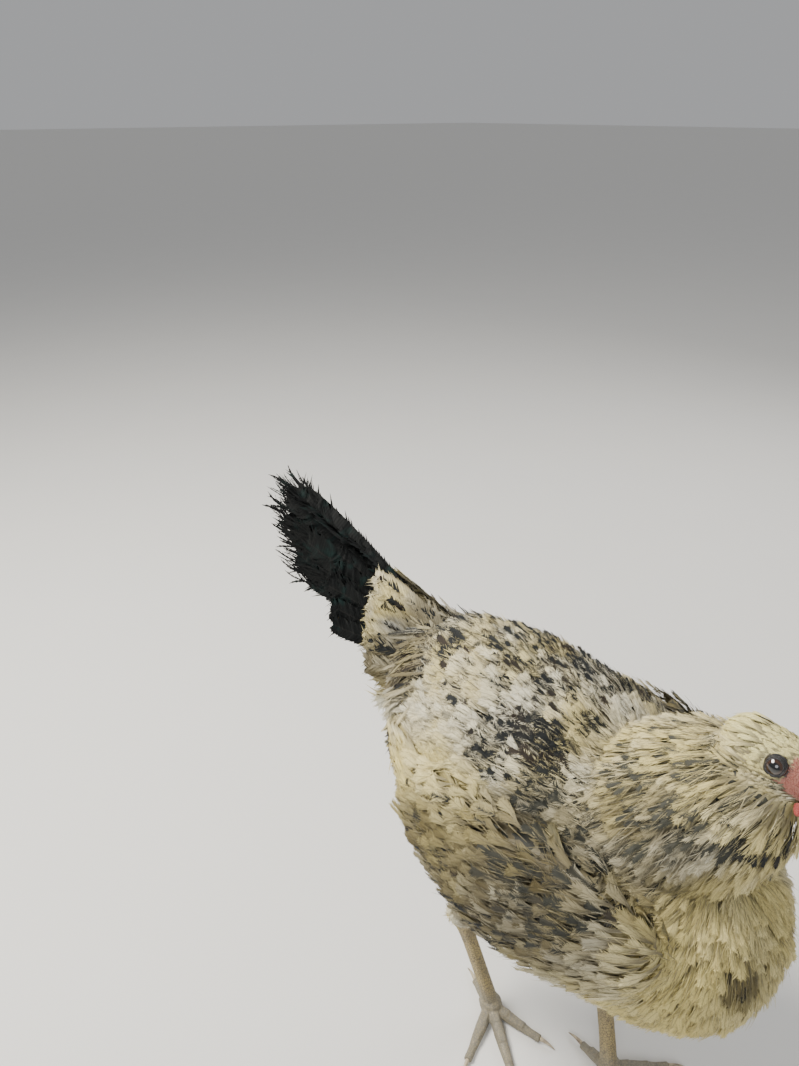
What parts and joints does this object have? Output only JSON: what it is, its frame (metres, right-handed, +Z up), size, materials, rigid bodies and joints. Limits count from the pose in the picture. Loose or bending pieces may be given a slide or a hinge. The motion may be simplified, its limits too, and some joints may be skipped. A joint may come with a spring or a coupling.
{
  "type": "desi hen",
  "caption": "Life-size still model of a standing desi hen, pale body feathers, black tail, head tilted, one foot forward.",
  "frame": {"origin": "middle of the whole box at floor level, where the soles lie", "axes": "+Z up, the hen looks along -Y, its left side is +X, its tail points to +Y"},
  "size_m": [0.2054, 0.4356, 0.3856],
  "materials": {
    "pale_feathers": "soft matt feathers, cream flecked with charcoal",
    "black_feathers": "black feathers with a faint green sheen",
    "red_skin": "bare red skin, finely pebbled",
    "eye": "wet, glossy",
    "horn": "satin horn",
    "scaly_leg": "scaly olive skin"
  },
  "bodies": {
    "root": {"torso": "pale_feathers", "neck": "pale_feathers", "head": "pale_feathers", "wing_L": "pale_feathers", "wing_R": "pale_feathers", "thigh_L": "pale_feathers", "thigh_R": "pale_feathers", "tail": "black_feathers", "comb": "red_skin", "wattle_L": "red_skin", "wattle_R": "red_skin", "eye_L": "eye", "eye_R": "eye", "beak_upper": "horn", "beak_lower": "horn", "shank_L": "scaly_leg", "shank_R": "scaly_leg", "foot_L": "scaly_leg", "foot_R": "scaly_leg", "claw_L_inner": "horn", "claw_L_middle": "horn", "claw_L_outer": "horn", "claw_L_hind": "horn", "claw_R_inner": "horn", "claw_R_middle": "horn", "claw_R_outer": "horn", "claw_R_hind": "horn"}
  },
  "joints": []
}
